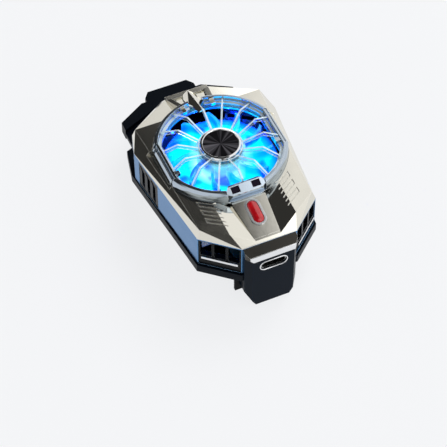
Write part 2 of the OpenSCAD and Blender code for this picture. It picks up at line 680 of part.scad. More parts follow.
// Clear guard: ribs that rise from the hub to a knee and drop to a rim on the ring's ledge
rib_line = [[guard_hub_r - 0.4, cap_z], [guard_hub_r, cap_z], rib_knee, [opening_r, rib_end]];
module fan_guard() color("lightcyan", 0.5) difference() {
    union() {
        intersection() {
            for (i = [0:rib_n - 1]) rotate([90, 0, 90 + i * 360 / rib_n]) translate([0, 0, -rib_t / 2])
                linear_extrude(rib_t) polygon(concat(rib_line,
                    [for (j = [3:-1:0]) rib_line[j] - [0, rib_d]]));
            opening(ring_seat, BIG, -2 * fit);
        }
        difference() {
            opening(ring_seat + ledge_step, rim_top, -2 * fit);
            opening(0, BIG, -ledge_w - 0.2);
        }
        disc(guard_z, cap_z, guard_hub_r);
    }
    front_clasp_plan(0, BIG, 2 * fit, 0);
    bridge_space(2 * fit);
    bridge_legs(2 * fit);
}
module guard_cap() color("black") disc(cap_z, cap_z + 0.5, cap_r - fit);
module cap_ring() color("silver") translate([0, 0, cap_z]) rotate_extrude() polygon([[cap_r, 0],
    [cap_r + cap_ring_w + 0.35, 0], [cap_r + cap_ring_w, cap_ring_h - 0.1],
    [cap_r + 0.2, cap_ring_h], [cap_r, cap_ring_h - 0.2]]);

// Switch panel, the rim round its button, and the button with its flange and stem
module switch_panel() color("dimgray") on_panel() difference() {
    panel_plan(-panel_t, 0, 0);
    at_button(-BIG, BIG, slide_fit);
    at_button(-0.4, BIG, button_rim + fit);
}
module button_bezel() color("silver") on_panel() difference() {
    at_button(-0.4, 0.3, button_rim);
    at_button(-1, 1, slide_fit);
}
module power_button() color("red") on_panel() union() {
    at_button(-panel_t - 0.1, button_proud, 0);
    at_button(-panel_t - 0.7, -panel_t - 0.05, 0.6);
    translate([0, button_y, 0]) disc(-stem_end, -panel_t - 0.5, 1);
}
module switch_board() color("darkgreen") on_panel() translate([0, button_y, 0])
    block([-6, 6], [-3, 3], [-tact_top - tact_h - board_t, -tact_top - tact_h]);
module tact_switch() color("black") on_panel() translate([0, button_y, 0]) union() {
    block([-1.75, 1.75], [-1.75, 1.75], [-tact_top - tact_h, -tact_top - 0.3]);
    disc(-tact_top - 0.3, -tact_top, 0.8);
}

// Nose: dark sloped cover, bright stripe, and the black front jaw with the socket's slot
nose_low = wall_top - 3.5;
module jaw_plan(y_face, y_in, z0, z1, f) plan(z0, z1, both([[jaw_face_half, f * y_face],
    [jaw_half, f * (y_face - jaw_chamfer)], [jaw_half, f * y_in]]));
module jaw_front(z1) along_y(-BIG, BIG, both([[hook_half, hook_low], [jaw_half, hook_low + hook_chamfer],
    [jaw_half, z1]]));
module nose_cover() color("dimgray") intersection() {
    along_x(BIG, [[-nose_reach, nose_low], [-nose_reach, wall_top - 0.2],
        [-front_face + 0.5, nose_low + 1.5], [-front_face + 0.5, nose_low]]);
    jaw_plan(front_face + 0.5, nose_reach, 0, BIG, -1);
}
module nose_stripe() color("white") intersection() {
    along_x(BIG, [[-front_face + 0.5, nose_low], [-front_face + 0.5, nose_low + 1.5],
        [-front_face + 0.2, nose_low + 1.5], [-front_face - 0.5, nose_low]]);
    jaw_plan(front_face + 0.5, nose_reach, 0, BIG, -1);
}
module front_jaw() color("black") difference() {
    intersection() {
        along_x(BIG, [[-front_face, hook_low], [-front_face, nose_low], [-nose_reach, nose_low],
            [-nose_reach, base_top], [-nose_reach - base_flare, base_top],
            [-nose_reach - base_flare, plate_proud],
            [front_pad_y - pad_t, plate_proud], [front_pad_y - pad_t, hook_top],
            [front_pad_y + hook_reach, hook_top], [front_pad_y + hook_reach - 0.8, hook_low]]);
        jaw_plan(front_face, front_grip - hook_reach, hook_low, BIG, -1);
        jaw_front(BIG);
    }
    usb_slot(-BIG, -nose_reach + 1, slide_fit);
    sides() translate([jaw_bolt[0], -nose_reach + 1, jaw_bolt[1]]) rotate([90, 0, 0])
        cylinder(r = screw_r, h = 3.2);
}
module front_pad() color([0.1, 0.1, 0.1]) block([-front_pad_half, front_pad_half],
    [front_pad_y - pad_t, front_pad_y], [hook_top, plate_proud - 0.2]);
module jaw_screws() color("silver") sides() translate([jaw_bolt[0], -nose_reach + wall_t, jaw_bolt[1]])
    rotate([90, 0, 0]) union() {
        translate([0, 0, -0.9]) cylinder(r = screw_head_r, h = 0.9);
        cylinder(r = screw_r, h = 3.5);
    }

// USB-C socket on the control board
usb_y = -front_face + 0.4;
module usb_shell() color("silver") difference() {
    usb_slot(usb_y, usb_y + usb_len, 0);
    usb_slot(usb_y - 1, usb_y + usb_len - 0.8, -usb_wall);
}
module usb_tongue() color("black") block([-3.35, 3.35], [usb_y + 0.8, usb_y + usb_len - 0.8],
    [usb_z - 0.35, usb_z + 0.35]);
module control_board() color("darkgreen") intersection() {
    block([-10.4, 10.4], board_y, [board_top - board_t, board_top]);
    plan(0, BIG, wall_plan(-wall_t - 0.2));
}

// Cold plate, thermoelectric module and finned heat sink
module cold_plate() color("lightgray") difference() {
    block([-1, 1] * (cold_plate_size[0] / 2), [-1, 1] * (cold_plate_size[1] / 2), [0, cold_plate_t]);
    at_each(sink_bolts) disc(0.6, BIG, screw_r);
}
module thermoelectric_module() color("ivory") let (w = module_w / 2, top = sink_z - ceramic_t,
    low = cold_plate_t + ceramic_t, p = module_w / (pellet_n + 0.4)) union() {
    for (z = [cold_plate_t, top]) block([-w, w], [-w, w], [z, z + ceramic_t]);
    for (i = [1:pellet_n], j = [1:pellet_n]) translate([-w + (i - 0.3) * p, -w + (j - 0.3) * p, 0])
        block([-0.3 * p, 0.3 * p], [-0.3 * p, 0.3 * p], [low - 0.1, top + 0.1]);
}
module sink_plan(z0, z1, g) intersection() {
    plan(z0, z1, wall_plan(-wall_t - g));
    block([-BIG, BIG], [board_y[1] + 1 + g, rear_reach + 4 - g], [z0, z1]);
}
module heat_sink() color("silver") difference() {
    union() {
        sink_plan(sink_z, sink_top, 0.6);
        intersection() {
            sink_plan(sink_z, fin_top, 1.6);
            for (i = [0:fin_n - 1]) rotate((i + 0.5) * 360 / fin_n)
                block([10, 40], [-fin_t / 2, fin_t / 2], [sink_z, fin_top]);
        }
    }
    at_each(frame_posts) disc(sink_top, BIG, 2.1);
    at_each(sink_bolts) disc(sink_top, BIG, screw_head_r + 0.3);
    at_each(concat(sink_bolts, base_bolts)) disc(0, BIG, screw_r);
}
module sink_screws() color("silver") at_each(sink_bolts) {
    disc(0.6, sink_top, screw_r);
    disc(sink_top, sink_top + 0.9, screw_head_r);
}
module base_screws() color("silver") at_each(base_bolts) {
    disc(plate_proud + 0.1, plate_proud + 1, screw_head_r);
    disc(plate_proud + 0.5, sink_top, screw_r);
}

// Motor frame on four posts, the light ring, and the motor's fixed half
module fan_frame() color([0.15, 0.15, 0.17]) difference() {
    union() {
        tube(frame_z, frame_top, frame_r, frame_in);
        disc(frame_z, frame_top, fan_hub_r);
        for (i = [0:3]) rotate(i * 90) block([tube_r, frame_in + 0.8], [-1.3, 1.3], [frame_z, frame_top]);
        at_each(frame_posts) disc(sink_top, frame_top, 1.8);
        disc(frame_z, fan_top - 3.4, tube_r);
    }
    disc(frame_z + 0.6, BIG, bearing_r);
}
module led_board() color("white") tube(frame_top, led_z, frame_in - 2 * fit, light_in);
module leds() color("cyan") for (i = [0:rib_n - 1]) rotate((i + 0.5) * 360 / rib_n)
    block([light_mid - led_half, light_mid + led_half], [-led_half, led_half], [led_z, led_z + led_h]);
module light_diffuser() color("deepskyblue", 0.6) union() {
    tube(diffuser_z, diffuser_z + diffuser_t, frame_r - 1, light_in);
    tube(frame_top, diffuser_z + 0.1, frame_r - 1, frame_in);
}
module bearing() color("goldenrod") tube(frame_z + 0.6, fan_top - 3.4, bearing_r, shaft_r + shaft_clear);
module stator() color("orangered") translate([0, 0, frame_top]) linear_extrude(stator_top - frame_top)
    difference() {
        circle(stator_r);
        circle(tube_r);
        for (i = [0:3]) rotate(i * 90) {
            intersection() {
                difference() {
                    circle(stator_r - pole_shoe);
                    circle(tube_r + pole_shoe);
                }
                translate([pole_half, pole_half]) square(stator_r);
            }
            rotate(45) translate([tube_r + 2 * pole_shoe, -slot_half]) square([stator_r, 2 * slot_half]);
        }
    }

// Fan with curved blades, its magnet and its shaft
module blade() intersection() {
    difference() {
        translate([fan_hub_r - 0.6, blade_curve, 0]) tube(fan_bottom + 0.3, fan_top - 0.6,
            blade_curve + blade_t / 2, blade_curve - blade_t / 2);
        disc(0, BIG, fan_hub_r - 0.4);
    }
    disc(0, BIG, fan_r);
    block([1, BIG], [-1, fan_r + 1], [0, BIG]);
}
module fan() color("deepskyblue", 0.7) union() {
    tube(fan_bottom, fan_top, fan_hub_r, fan_hub_r - fan_wall);
    disc(fan_top - fan_wall, fan_top, fan_hub_r - fan_wall / 2);
    tube(fan_bottom, fan_bottom + 0.6, fan_r - 1.2, fan_hub_r - 0.6);
    tube(fan_top - 2.6, fan_top - 0.5, shaft_r + 1.2, shaft_r);
    for (i = [0:blade_n - 1]) rotate(i * 360 / blade_n) blade();
}
module fan_magnet() color([0.25, 0.25, 0.27]) tube(fan_bottom, fan_top - 2, fan_hub_r - fan_wall,
    fan_hub_r - fan_wall - magnet_t);
module fan_shaft() color("gainsboro") disc(frame_z + 0.8, fan_top - fan_wall, shaft_r);

// Sliding arm: two legs and a crossbar in the tray, a thick wing, and the rear jaw
module rear_jaw() color("black") union() {
    sides() block([arm_half - leg_w, arm_half], [-leg_front, rear_reach + 9], [arm_low, arm_low + arm_t]);
    plan(arm_low, arm_low + arm_t, both([[arm_half, rear_reach + 8], wing_corner, wing_neck]));
    plan(plate_proud, wing_top, both([[jaw_half, tail_reach + base_flare + close_travel + 0.8],
        [wing_corner[0] + 0.1, rear_reach + base_tail + close_travel + 2.4], wing_corner, wing_neck]));
    intersection() {
        along_x(BIG, [[rear_face, hook_low], [rear_face, wing_top], [rear_pad_y + pad_t, wing_top],
            [rear_pad_y + pad_t, hook_top], [rear_pad_y - hook_reach, hook_top],
            [rear_pad_y - hook_reach + 0.8, hook_low]]);
        jaw_plan(rear_face, rear_pad_y - hook_reach, hook_low, BIG, 1);
        jaw_front(BIG);
    }
    sides() block([spring_x - 0.6, spring_x + 0.6], [-leg_front - hook_len, -leg_front + 0.8],
        [arm_low, arm_low + arm_t]);
}
module rear_pad() color([0.1, 0.1, 0.1]) block([-jaw_half, jaw_half], [rear_pad_y, rear_pad_y + pad_t],
    [hook_top, plate_proud - 0.2]);

// Clamp spring as one tube along a helix, from its post to the leg's hook
spring_y = [-spring_post_y + spring_post_r + 2 * spring_wire, -leg_front - hook_len - 2 * spring_wire];
spring_pitch = (spring_y[1] - spring_y[0]) / spring_n;
spring_steps = 10;
spring_ring = 6;
function coil(i) = let (a = 360 * i / spring_steps)
    [spring_r * cos(a), spring_y[0] + spring_pitch * i / spring_steps, spring_r * sin(a)];
function coil_ring(i) = let (a = 360 * i / spring_steps) [for (k = [0:spring_ring - 1])
    let (b = 360 * k / spring_ring) coil(i) + spring_wire * [cos(b) * cos(a), sin(b), cos(b) * sin(a)]];
module spring() let (n = spring_n * spring_steps, m = spring_ring)
    polyhedron([for (i = [0:n]) each coil_ring(i)], concat(
        [[for (k = [0:m - 1]) k]], [[for (k = [m - 1:-1:0]) n * m + k]],
        [for (i = [0:n - 1], k = [0:m - 1])
            [i * m + k, (i + 1) * m + k, (i + 1) * m + (k + 1) % m, i * m + (k + 1) % m]]));
echo(spring_gap = min([for (i = [0:spring_steps]) norm(coil(i + spring_steps) - coil(i))])
    - 2 * spring_wire);
module clamp_springs() color("silver") sides() translate([spring_x, 0, arm_low + arm_t / 2]) spring();

top_shell();
side_wall();
base_tray();
fan_ring();
left_clasp();
right_clasp();
front_clasp();
clasp_windows();
rear_bridge();
fan_guard();
guard_cap();
cap_ring();
switch_panel();
button_bezel();
power_button();
switch_board();
tact_switch();
left_vent();
right_vent();
left_sill();
right_sill();
left_louvre();
right_louvre();
nose_cover();
nose_stripe();
front_jaw();
front_pad();
jaw_screws();
usb_shell();
usb_tongue();
control_board();
cold_plate();
thermoelectric_module();
heat_sink();
sink_screws();
base_screws();
fan_frame();
led_board();
leds();
light_diffuser();
bearing();
stator();
fan();
fan_magnet();
fan_shaft();
rear_jaw();
rear_pad();
clamp_springs();
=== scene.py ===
"""A clamp-on cooling fan, dressed around its CAD frame. Lengths are metres, written in millimetres."""
import json

import bmesh
import bpy
import numpy as np
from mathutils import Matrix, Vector


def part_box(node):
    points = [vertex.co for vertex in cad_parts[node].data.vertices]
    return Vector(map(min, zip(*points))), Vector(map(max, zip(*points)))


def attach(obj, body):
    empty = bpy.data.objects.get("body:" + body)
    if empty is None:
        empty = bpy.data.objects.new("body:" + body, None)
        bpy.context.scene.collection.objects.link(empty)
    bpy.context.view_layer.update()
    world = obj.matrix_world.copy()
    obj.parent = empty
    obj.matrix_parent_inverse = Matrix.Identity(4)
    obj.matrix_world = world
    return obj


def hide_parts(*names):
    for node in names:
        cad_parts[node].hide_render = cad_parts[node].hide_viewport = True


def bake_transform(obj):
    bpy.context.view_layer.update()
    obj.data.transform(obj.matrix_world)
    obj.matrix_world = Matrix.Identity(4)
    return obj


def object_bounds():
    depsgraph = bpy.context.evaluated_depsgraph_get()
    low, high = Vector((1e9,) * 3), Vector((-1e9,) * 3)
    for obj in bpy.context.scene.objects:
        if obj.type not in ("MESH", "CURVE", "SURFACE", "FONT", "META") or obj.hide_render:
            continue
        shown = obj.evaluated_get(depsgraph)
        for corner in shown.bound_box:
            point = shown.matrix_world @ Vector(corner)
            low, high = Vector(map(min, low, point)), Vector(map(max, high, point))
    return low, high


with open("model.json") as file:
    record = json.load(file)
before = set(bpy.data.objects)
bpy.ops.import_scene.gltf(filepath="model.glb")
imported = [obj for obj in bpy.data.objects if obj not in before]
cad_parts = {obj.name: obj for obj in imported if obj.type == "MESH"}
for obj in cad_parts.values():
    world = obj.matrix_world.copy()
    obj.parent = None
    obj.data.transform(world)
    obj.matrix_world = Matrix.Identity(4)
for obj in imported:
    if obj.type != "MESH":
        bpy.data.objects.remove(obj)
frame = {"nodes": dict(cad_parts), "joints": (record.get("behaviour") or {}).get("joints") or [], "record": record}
nodes = frame["nodes"]
cad_box = [list(corner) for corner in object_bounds()]
MM = 0.001

# Floor: a plain pale sheet under the jaws' hooks.
# It is matt paper, and the camera and the plating see it near white, with the object's soft shadow on it.
FLOOR_HALF = 3000 * MM
FLOOR_WHITE = "#F4F5F7"
FLOOR_LIFT = 0.86
FLOOR_GAP = 0.02 * MM


def linear(colour):
    """Turns an sRGB hex colour into the linear RGBA that sockets take."""
    values = np.array([int(colour[i:i + 2], 16) for i in (1, 3, 5)]) / 255
    values = np.where(values <= 0.04045, values / 12.92, ((values + 0.055) / 1.055) ** 2.4)
    return (*values.tolist(), 1.0)


def add(tree, kind, inputs=None, **settings):
    """Adds one node with its settings, and sets or links the inputs that are named."""
    node = tree.nodes.new("ShaderNode" + kind)
    for key, value in settings.items():
        setattr(node, key, value)
    for name, value in (inputs or {}).items():
        if isinstance(value, bpy.types.NodeSocket):
            tree.links.new(value, node.inputs[name])
        else:
            node.inputs[name].default_value = value
    return node


def new_material(name):
    """An empty material named for what it is: its tree and its surface shader."""
    material = bpy.data.materials.new(name)
    material.use_nodes = True
    return material, material.node_tree, material.node_tree.nodes["Principled BSDF"]


def new_piece(name, corners, faces):
    """A mesh object at the origin, from points and faces."""
    mesh = bpy.data.meshes.new(name)
    mesh.from_pydata(corners, [], faces)
    mesh.update()
    piece = bpy.data.objects.new(name, mesh)
    bpy.context.scene.collection.objects.link(piece)
    return piece


floor_z = cad_box[0][2] - FLOOR_GAP
square = [(-1, -1), (1, -1), (1, 1), (-1, 1)]
floor = new_piece("floor", [(x * FLOOR_HALF, y * FLOOR_HALF, floor_z) for x, y in square], [(0, 1, 2, 3)])
paper, tree, shader = new_material("matt_paper")
path = add(tree, "LightPath")
seen = add(tree, "Math", {0: path.outputs["Is Camera Ray"], 1: path.outputs["Is Glossy Ray"]},
           operation="MAXIMUM")
seen = add(tree, "Math", {0: seen.outputs[0], 1: path.outputs["Is Transmission Ray"]}, operation="MAXIMUM")
lift = add(tree, "Math", {0: seen.outputs[0], 1: FLOOR_LIFT}, operation="MULTIPLY")
shader.inputs["Base Color"].default_value = linear(FLOOR_WHITE)
shader.inputs["Roughness"].default_value = 0.9
shader.inputs["Specular IOR Level"].default_value = 0.1
white = add(tree, "Emission", {"Color": linear(FLOOR_WHITE), "Strength": 1.0})
blend = add(tree, "MixShader", {0: lift.outputs[0], 1: shader.outputs[0], 2: white.outputs[0]})
tree.links.new(blend.outputs[0], tree.nodes["Material Output"].inputs["Surface"])
floor.data.materials.append(paper)

# Camera: a long lens from the front left, well above, as the picture was taken.
# The three numbers of its place are worked out from the direction, the aim and the distance.
LENS_MM = 145.93
SENSOR_MM = 36.0
TOWARD_CAMERA = Vector((-0.2553, -0.5742, 0.7779))
AIM = Vector((-3.64, -10.52, -5.21)) * MM
CAMERA_REACH = 607.8 * MM

camera_data = bpy.data.cameras.new("camera")
camera_data.lens = LENS_MM
camera_data.sensor_width = SENSOR_MM
camera_data.clip_start = 10 * MM
camera = bpy.data.objects.new("camera", camera_data)
camera.location = AIM + TOWARD_CAMERA * CAMERA_REACH
camera.rotation_euler = TOWARD_CAMERA.to_track_quat("Z", "Y").to_euler()
bpy.context.scene.collection.objects.link(camera)
bpy.context.scene.camera = camera

# Studio: a dim room with large soft panels round the object, and two lamps for what isn't plated.
# Flat plated facets take their light and dark from the panels, and the lamps keep the level plain.
ROOM = 0.035
PANELS = [
    # direction, cosine at its edge, cosine where it is full, brightness
    ((1.0, 0.0, 0.0), 0.262, 0.292, 0.98),
    ((0.24, -0.16, 0.957), 0.972, 0.987, 0.90),
    ((0.34, 0.82, 0.46), 0.966, 0.985, 0.80),
    ((-0.66, 0.52, 0.54), 0.930, 0.980, 0.80),
    ((-0.74, -0.62, 0.26), 0.800, 0.950, 0.90),
    ((0.30, -0.90, 0.30), 0.800, 0.950, 0.75),
]
world = bpy.data.worlds.new("studio")
bpy.context.scene.world = world
world.use_nodes = True
tree = world.node_tree
where = add(tree, "TexCoord").outputs["Generated"]
level = add(tree, "Value").outputs[0]
level.default_value = ROOM
for direction, edge, full, brightness in PANELS:
    towards = add(tree, "VectorMath", {0: where, 1: Vector(direction).normalized()}, operation="DOT_PRODUCT")
    panel = add(tree, "MapRange", {"Value": towards.outputs["Value"], "From Min": edge, "From Max": full,
                                   "To Max": brightness}, interpolation_type="SMOOTHSTEP")
    level = add(tree, "Math", {0: level, 1: panel.outputs[0]}, operation="ADD").outputs[0]
tree.links.new(level, tree.nodes["Background"].inputs["Strength"])
tree.nodes["Background"].inputs["Color"].default_value = (1, 1, 1, 1)

LAMPS = [
    # name, place, side, watts
    ("key", (420, 300, 620), 420, 3.0),
    ("fill", (-380, -420, 480), 500, 1.6),
]
for name, place, side, watts in LAMPS:
    lamp_data = bpy.data.lights.new(name, "AREA")
    lamp_data.energy = watts
    lamp_data.size = side * MM
    lamp = bpy.data.objects.new(name, lamp_data)
    lamp.location = Vector(place) * MM
    lamp.rotation_euler = lamp.location.to_track_quat("Z", "Y").to_euler()
    lamp.visible_glossy = False
    bpy.context.scene.collection.objects.link(lamp)

# Plated shells: ABS mouldings, vacuum metallised or chromed, screwed to the tray from below.
# The plating is a mirror with a little orange peel, and a thin bright line is painted along its sharp edges as a
# highlight.
PEEL_MM = 2.4
HAZE_MM = 9
EDGE_MM = 0.14


def dress(material, *names):
    """Gives CAD nodes a material."""
    for name in names:
        mesh = nodes[name].data
        mesh.materials.clear()
        mesh.materials.append(material)


def edge_highlight_line(tree, width):
    """A rounded normal, and how far it leans from the flat face, which is 1 on a sharp edge: the mask where a
    paler edge colour is painted as a highlight.
    """
    rounded = add(tree, "Bevel", {"Radius": width * MM}, samples=4)
    flat = add(tree, "NewGeometry")
    lean = add(tree, "VectorMath", {0: rounded.outputs[0], 1: flat.outputs["True Normal"]},
               operation="DOT_PRODUCT")
    edge_highlight = add(tree, "MapRange", {"Value": lean.outputs["Value"], "From Min": 0.995, "From Max": 0.90})
    return rounded.outputs[0], edge_highlight.outputs[0]


def grain(tree, size, detail=2.0):
    """Noise whose lumps are about this many millimetres across."""
    place = add(tree, "TexCoord").outputs["Object"]
    return add(tree, "TexNoise", {"Vector": place, "Scale": 1 / (size * MM), "Detail": detail}).outputs["Fac"]


def plating(name, body, edge, smooth, rough, peel=0.002):
    """Metal plating on ABS: a mirror with orange peel, and a paler line painted on each edge as a highlight."""
    material, tree, shader = new_material(name)
    rounded, edge_highlight = edge_highlight_line(tree, EDGE_MM)
    lumps = grain(tree, PEEL_MM)
    # The paler edge colour is a painted highlight along sharp edges.
    colour = add(tree, "Mix", {"Factor": edge_highlight, "A": linear(body), "B": linear(edge)}, data_type="RGBA")
    haze = add(tree, "MapRange", {"Value": grain(tree, HAZE_MM), "From Min": 0.3, "From Max": 0.7,
                                  "To Min": smooth, "To Max": rough})
    bump = add(tree, "Bump", {"Height": lumps, "Normal": rounded, "Strength": peel, "Distance": MM})
    tree.links.new(colour.outputs["Result"], shader.inputs["Base Color"])
    tree.links.new(haze.outputs[0], shader.inputs["Roughness"])
    tree.links.new(bump.outputs[0], shader.inputs["Normal"])
    shader.inputs["Metallic"].default_value = 1.0
    return material


gunmetal = plating("gunmetal_plated_abs", "#E2DFD4", "#FFFDF6", 0.06, 0.10)
dress(gunmetal, "top_shell", "rear_bridge", "switch_panel")
blue_chrome = plating("blue_chrome_abs", "#B4C0CC", "#F2F7FC", 0.06, 0.12)
dress(blue_chrome, "fan_ring", "front_clasp", "left_clasp", "right_clasp")
dark_plate = plating("dark_plated_abs", "#4A4844", "#C8C6C0", 0.12, 0.20)
dress(dark_plate, "nose_cover")
steel_blue = plating("steel_blue_plated_abs", "#4A7FB2", "#9CC2E4", 0.16, 0.26)
dress(steel_blue, "side_wall")
chrome = plating("bright_chrome_abs", "#E9EAEC", "#FFFFFF", 0.05, 0.10)
dress(chrome, "nose_stripe", "left_sill", "right_sill", "button_bezel", "cap_ring")

# Black mouldings: the tray, the jaws, the vents and the louvres, in ABS with a fine spark texture.
# They are almost black with a blue cast, and their edges are painted a little paler, partly as wear and partly as
# a painted highlight.
SPARK_MM = 0.35
SPARK_DEPTH = 0.1


def moulding(name, body, edge, rough, depth, gloss=0.10, tint="#FFFFFF"):
    """Textured black plastic, painted paler on its edges: partly wear, partly a painted highlight."""
    material, tree, shader = new_material(name)
    rounded, edge_highlight = edge_highlight_line(tree, EDGE_MM)
    # The paler edge colour is painted: partly wear, partly a painted highlight.
    colour = add(tree, "Mix", {"Factor": edge_highlight, "A": linear(body), "B": linear(edge)}, data_type="RGBA")
    bump = add(tree, "Bump", {"Height": grain(tree, SPARK_MM, 3.0), "Normal": rounded, "Strength": depth,
                              "Distance": SPARK_DEPTH * MM})
    tree.links.new(colour.outputs["Result"], shader.inputs["Base Color"])
    tree.links.new(bump.outputs[0], shader.inputs["Normal"])
    shader.inputs["Roughness"].default_value = rough
    shader.inputs["IOR"].default_value = 1.53
    shader.inputs["Specular IOR Level"].default_value = gloss
    shader.inputs["Specular Tint"].default_value = linear(tint)
    return material


NAVY_SHEEN = "#5A86B4"
dress(moulding("black_moulded_abs", "#06090F", "#1C232D", 0.40, 0.25, tint=NAVY_SHEEN),
      "base_tray", "rear_jaw", "fan_frame")
dress(moulding("blue_black_gloss_abs", "#020B16", "#14283E", 0.34, 0.08, 0.08, NAVY_SHEEN), "front_jaw")
dress(moulding("black_gloss_abs", "#050608", "#6A7078", 0.22, 0.08),
      "left_vent", "right_vent", "left_louvre", "right_louvre")
dress(moulding("violet_black_gloss", "#0E0618", "#2A1A42", 0.22, 0.02, 0.08), "clasp_windows")
dress(moulding("black_switch_resin", "#101012", "#242426", 0.50, 0.20), "tact_switch")

# Jaw pads: black silicone strips glued to the jaws, with ridges along them that grip what is clamped.
# Each is one closed section, ridged on the gripping side, carried across the jaw and drawn in at its ends.
RIDGE_MM = 1.3
RIDGE_DEPTH = 0.35
PAD_ROUND = 0.35
PAD_STEPS = 97
PAD_END_STEPS = 7
silicone = moulding("black_silicone", "#0B0C0F", "#1C1E23", 0.60, 0.30)


def closed_strip(rings):
    """Faces of a tube through rings of points, with a fan of one face at each end."""
    count, around = rings.shape[:2]
    row = np.arange(count - 1)[:, None] * around
    k = np.arange(around)[None, :]
    after = (k + 1) % around
    quads = np.stack([row + k, row + after, row + around + after, row + around + k], axis=-1).reshape(-1, 4)
    ends = [list(range(around))[::-1], list(range((count - 1) * around, count * around))]
    return rings.reshape(-1, 3).tolist(), quads.tolist() + ends


def shade_smooth(piece, angle=0.6):
    """Smooth faces, with edges sharper than the angle (radians) kept sharp."""
    piece.data.polygons.foreach_set("use_smooth", np.ones(len(piece.data.polygons), dtype=bool))
    piece.data.set_sharp_from_angle(angle=angle)


def ridged_pad(name, node, body, grip):
    """Section of ridges (a rectified sine up the gripping side) and a flat back, carried along X.
    The last stations shrink toward the section's middle by a quarter circle, which rounds the ends."""
    low, high = (np.array(corner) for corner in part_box(node))
    back, face = (low[1], high[1]) if grip > 0 else (high[1], low[1])
    up = np.linspace(low[2], high[2], PAD_STEPS)
    ridge = np.abs(np.sin(np.pi * (up - low[2]) / (RIDGE_MM * MM)))
    edge = np.clip(np.minimum(up - low[2], high[2] - up) / (PAD_ROUND * MM), 0, 1)
    round_in = PAD_ROUND * (1 - np.sqrt(1 - (1 - edge) ** 2))
    front = face - grip * (RIDGE_DEPTH * (1 - ridge) + round_in) * MM
    section = np.concatenate([np.stack([front, up], 1), [[back, high[2]], [back, low[2]]]])
    turn = np.linspace(0, np.pi / 2, PAD_END_STEPS)
    inset = PAD_ROUND * MM * (1 - np.sin(turn))
    across = low[0] + PAD_ROUND * MM * (1 - np.cos(turn))
    stations = np.concatenate([across, -across[::-1]])
    inset = np.concatenate([inset, inset[::-1]])
    middle = (low[1:] + high[1:]) / 2
    half = (high[1:] - low[1:]) / 2
    drawn = middle + (section[None] - middle) * (1 - inset[:, None, None] / half)
    drawn[..., 0] = np.where(np.isclose(section[None, :, 0], back), back, drawn[..., 0])
    rings = np.concatenate([np.broadcast_to(stations[:, None, None], (*drawn.shape[:2], 1)), drawn], axis=-1)
    if grip > 0:
        rings = rings[:, ::-1]
    piece = new_piece(name, *closed_strip(rings))
    shade_smooth(piece)
    piece.data.materials.append(silicone)
    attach(piece, body)
    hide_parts(node)


ridged_pad("ridged_front_pad", "front_pad", "housing", 1)
ridged_pad("ridged_rear_pad", "rear_pad", "clamp", -1)

# Guard: one moulding in clear polycarbonate, fourteen straight ribs, each with a knee, from hub to rim.
# The flanks are clear, and the upward faces are made milky white, a painted highlight, so the top edges read as
# white lines over the glow.
FROST_MM = 1.5
material, tree, shader = new_material("clear_polycarbonate")
# Painted highlight: faces that point up lose most of their clearness and turn white.
facing = add(tree, "SeparateXYZ", {0: add(tree, "NewGeometry").outputs["True Normal"]})
top_face_highlight = add(tree, "MapRange", {"Value": facing.outputs["Z"], "From Min": 0.75, "From Max": 0.95})
highlight_transmission = add(tree, "MapRange", {"Value": top_face_highlight.outputs[0], "To Min": 0.95, "To Max": 0.25})
tree.links.new(highlight_transmission.outputs[0], shader.inputs["Transmission Weight"])
haze = add(tree, "MapRange", {"Value": grain(tree, FROST_MM), "To Min": 0.03, "To Max": 0.12})
tree.links.new(haze.outputs[0], shader.inputs["Roughness"])
shader.inputs["Base Color"].default_value = linear("#E8F8FF")
shader.inputs["IOR"].default_value = 1.58
dress(material, "fan_guard")

# Centre cap: a black disc with a finish brushed from the middle out, snapped into the guard's hub.
# Fan-shaped sheens, as on a record, are painted into its colour as pale sectors by angle, over dark lacquer.
SHEEN_SECTORS = 2.2
material, tree, shader = new_material("brushed_black_lacquer")
place = add(tree, "TexCoord").outputs["Object"]
flat = add(tree, "VectorMath", {0: place, 1: (1, 1, 0)}, operation="MULTIPLY")
heading = add(tree, "VectorMath", {0: flat.outputs[0]}, operation="NORMALIZE")
# Painted sheen: pale sectors by angle are mixed into the base colour.
streak = add(tree, "TexNoise", {"Vector": heading.outputs[0], "Scale": SHEEN_SECTORS, "Detail": 4.0})
painted_sheen = add(tree, "MapRange", {"Value": streak.outputs["Fac"], "From Min": 0.46, "From Max": 0.70})
colour = add(tree, "Mix", {"Factor": painted_sheen.outputs[0], "A": linear("#1B1A1E"), "B": linear("#8E8C94")},
             data_type="RGBA")
tree.links.new(colour.outputs["Result"], shader.inputs["Base Color"])
turned = add(tree, "Tangent", direction_type="RADIAL", axis="Z")
tree.links.new(turned.outputs[0], shader.inputs["Tangent"])
shader.inputs["Metallic"].default_value = 1.0
shader.inputs["Roughness"].default_value = 0.34
shader.inputs["Anisotropic"].default_value = 0.9
dress(material, "guard_cap")

# Fan: eleven curved blades and a back plate in translucent blue polycarbonate, lit from below.
# The light through the blades is a painted glow, given off by the blades themselves: cyan near the hub, deep blue
# toward the rim, brighter low down than at the blade tops.
FAN_HUB = 8.2 * MM
FAN_RIM = 19.4 * MM
PATCH_MM = 7
BLADE_LOW = 14.0 * MM
BLADE_HIGH = 17.5 * MM
CYAN = "#00E5FF"
DEEP_BLUE = "#0A35E0"


def radius(tree):
    """Distance from the fan's axis, in metres."""
    place = add(tree, "TexCoord").outputs["Object"]
    flat = add(tree, "VectorMath", {0: place, 1: (1, 1, 0)}, operation="MULTIPLY")
    return add(tree, "VectorMath", {0: flat.outputs[0]}, operation="LENGTH").outputs["Value"]


